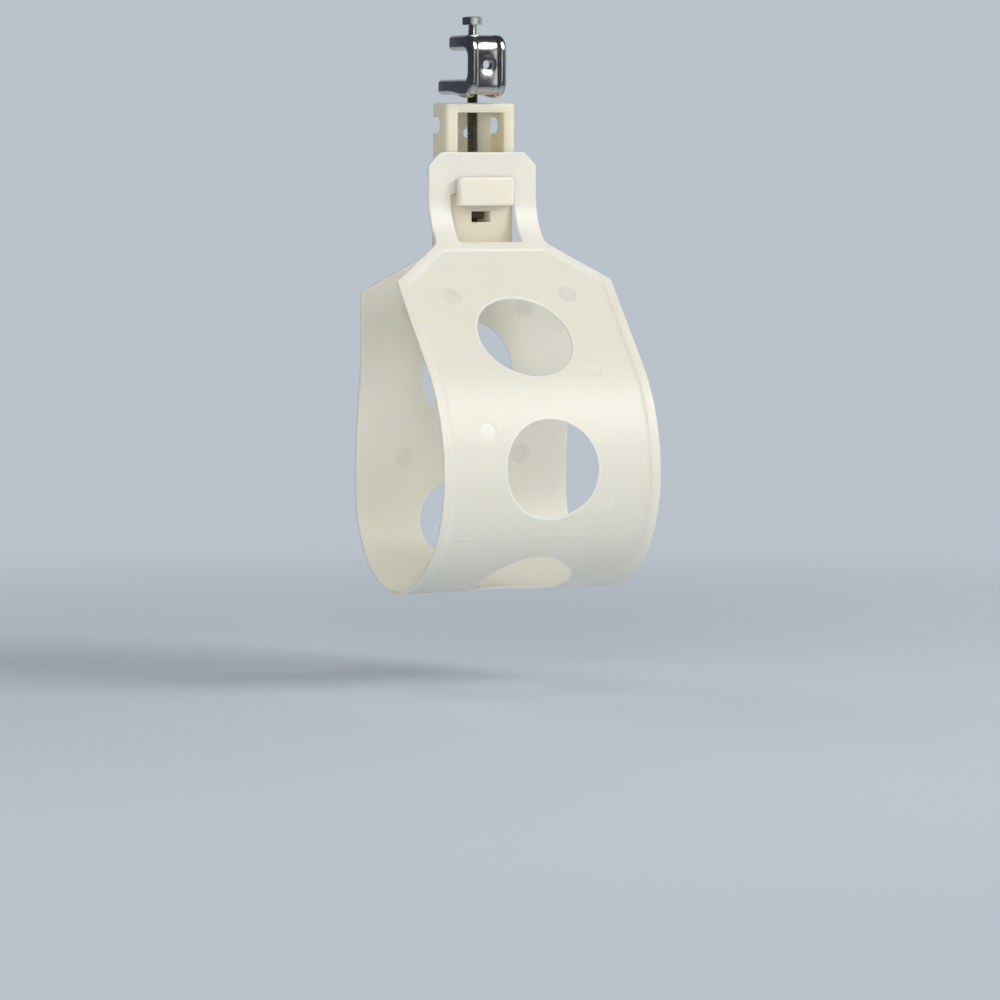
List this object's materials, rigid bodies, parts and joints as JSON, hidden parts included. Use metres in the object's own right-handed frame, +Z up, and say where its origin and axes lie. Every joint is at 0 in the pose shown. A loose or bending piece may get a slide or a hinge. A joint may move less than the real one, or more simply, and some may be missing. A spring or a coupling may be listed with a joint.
{
  "type": "loop cable hanger",
  "caption": "Wide moulded strap loop with round holes and a front catch, swivelling on a threaded rod under a C-shaped beam clamp; it carries a bundle of cables.",
  "frame": {"origin": "middle of the clamp's lower jaw seat, on the common line of the set screw and the rod", "axes": "+X along the cables, -Y towards the front with the catch, +Z up"},
  "size_m": [0.102, 0.101, 0.2489],
  "materials": {
    "plated_steel": "bright zinc plating",
    "screw_steel": "bright zinc plating",
    "dark_steel": "black oxide",
    "milky_plastic": "natural, slightly translucent moulding"
  },
  "bodies": {
    "clamp": {"beam_clamp_body": "plated_steel", "hanger_rod": "dark_steel"},
    "set_screw": {"clamp_set_screw": "screw_steel"},
    "loop": {"moulded_strap_loop": "milky_plastic", "captive_hex_nut": "dark_steel"}
  },
  "joints": [
    {"name": "set_screw_travel", "type": "slide", "parent": "clamp", "child": "set_screw", "axis": [0, 0, 1], "range_m": [-0.0044, 0.0057]},
    {"name": "loop_swivel", "type": "hinge", "parent": "clamp", "child": "loop", "pos_m": [0, 0, -0.04], "axis": [0, 0, 1], "range_deg": [-180, 180]}
  ]
}
